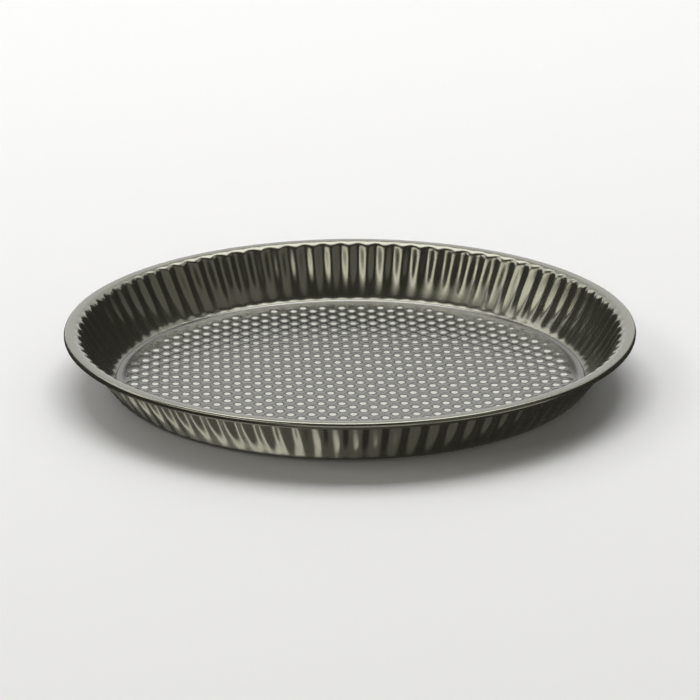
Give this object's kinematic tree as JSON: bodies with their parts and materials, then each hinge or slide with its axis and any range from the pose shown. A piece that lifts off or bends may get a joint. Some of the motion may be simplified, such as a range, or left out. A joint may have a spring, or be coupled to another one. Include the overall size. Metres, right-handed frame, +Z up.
{
  "type": "fluted tart pan",
  "caption": "Shallow round tart pan with fluted sloping sides, a flat rolled rim and a loose dimpled base that lifts out of the ring.",
  "frame": {"origin": "on the pan's axis, level with the surface that the pan stands on", "axes": "+Z up along the pan's axis; +X and +Y along the rows of dimples, with a flute pocket on each axis"},
  "size_m": [0.294, 0.294, 0.029],
  "materials": {
    "ring_coating": "satin-gloss dark grey non-stick coating on steel sheet",
    "base_coating": "satin-gloss dark grey non-stick coating on dimpled steel sheet",
    "wire_steel": "plain drawn steel wire"
  },
  "bodies": {
    "ring": {"fluted_ring": "ring_coating", "rim_wire": "wire_steel"},
    "base": {"base_disc": "base_coating"}
  },
  "joints": [
    {"name": "base_lift", "type": "slide", "parent": "ring", "child": "base", "axis": [0, 0, 1], "range_m": [0, 0.06]}
  ]
}
